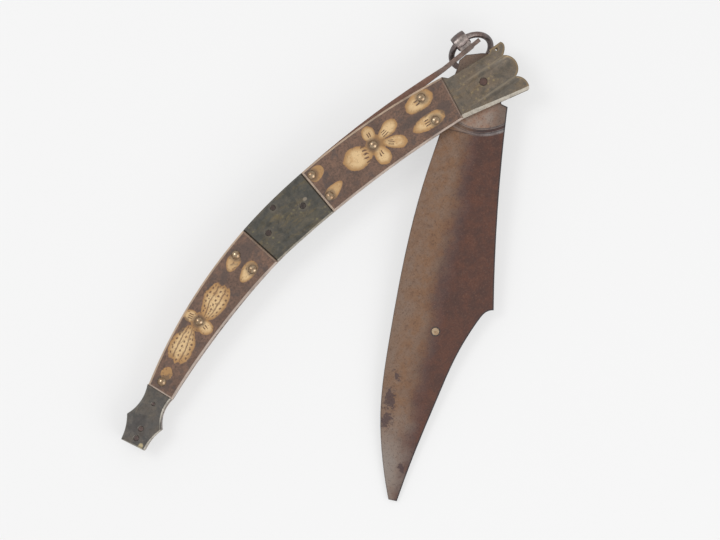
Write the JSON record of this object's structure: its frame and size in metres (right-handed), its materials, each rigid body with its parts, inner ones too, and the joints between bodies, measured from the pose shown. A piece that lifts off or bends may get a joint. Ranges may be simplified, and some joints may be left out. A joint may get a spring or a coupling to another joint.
{
  "type": "folding knife",
  "caption": "Folding pocket knife with a broad clip-point blade, a curved bone and brass handle, and a back spring that a ring on its nose lifts to free the blade.",
  "frame": {"origin": "middle of the rear middle bolster's outer face, halfway between the handle's two edges", "axes": "+X along the handle towards the head and pivot, +Y towards the handle's back and its spring, +Z through the thickness towards the front face"},
  "size_m": [0.23, 0.1275, 0.0208],
  "materials": {
    "blade_steel": "rust-brown patina, greyer towards the edge",
    "bolster_brass": "dark patinated brass, bright on worn edges",
    "stained_bone": "brown stained bone with pale scraped petals",
    "pin_brass": "rubbed brass",
    "liner_iron": "dull iron sheet",
    "rivet_iron": "dark iron, filed flush",
    "spring_iron": "dark brown iron, rubbed",
    "ring_iron": "dark brown iron, rubbed"
  },
  "bodies": {
    "handle": {"front_liner": "liner_iron", "front_head_bolster": "bolster_brass", "front_middle_bolster": "bolster_brass", "front_tail_bolster": "bolster_brass", "front_upper_scale": "stained_bone", "front_lower_scale": "stained_bone", "front_upper_pins": "pin_brass", "front_lower_pins": "pin_brass", "front_middle_rivets": "rivet_iron", "rear_liner": "liner_iron", "rear_head_bolster": "bolster_brass", "rear_middle_bolster": "bolster_brass", "rear_tail_bolster": "bolster_brass", "rear_upper_scale": "stained_bone", "rear_lower_scale": "stained_bone", "rear_upper_pins": "pin_brass", "rear_lower_pins": "pin_brass", "rear_middle_rivets": "rivet_iron", "pivot_pin": "rivet_iron", "spring_pin": "rivet_iron", "tail_rivets": "rivet_iron"},
    "blade": {"blade": "blade_steel", "blade_plug": "pin_brass"},
    "spring": {"back_spring": "spring_iron", "ring_lug": "ring_iron"},
    "ring": {"pull_ring": "ring_iron"}
  },
  "joints": [
    {"name": "blade_pivot", "type": "hinge", "parent": "handle", "child": "blade", "pos_m": [0.0985, -0.0152, 0.0052], "axis": [0, 0, 1], "range_deg": [-34, 128]},
    {"name": "spring_lift", "type": "hinge", "parent": "handle", "child": "spring", "pos_m": [-0.0016, 0.0075, 0.0052], "axis": [0, 0, 1], "range_deg": [0, 1.3], "stiffness_Nm_per_rad": 8, "springref_deg": -0.7, "deforming": ["back_spring"]},
    {"name": "ring_swing", "type": "hinge", "parent": "spring", "child": "ring", "pos_m": [0.10385, 0.00388, 0.0052], "axis": [0.9968, -0.0802, 0], "range_deg": [0, 245]}
  ]
}
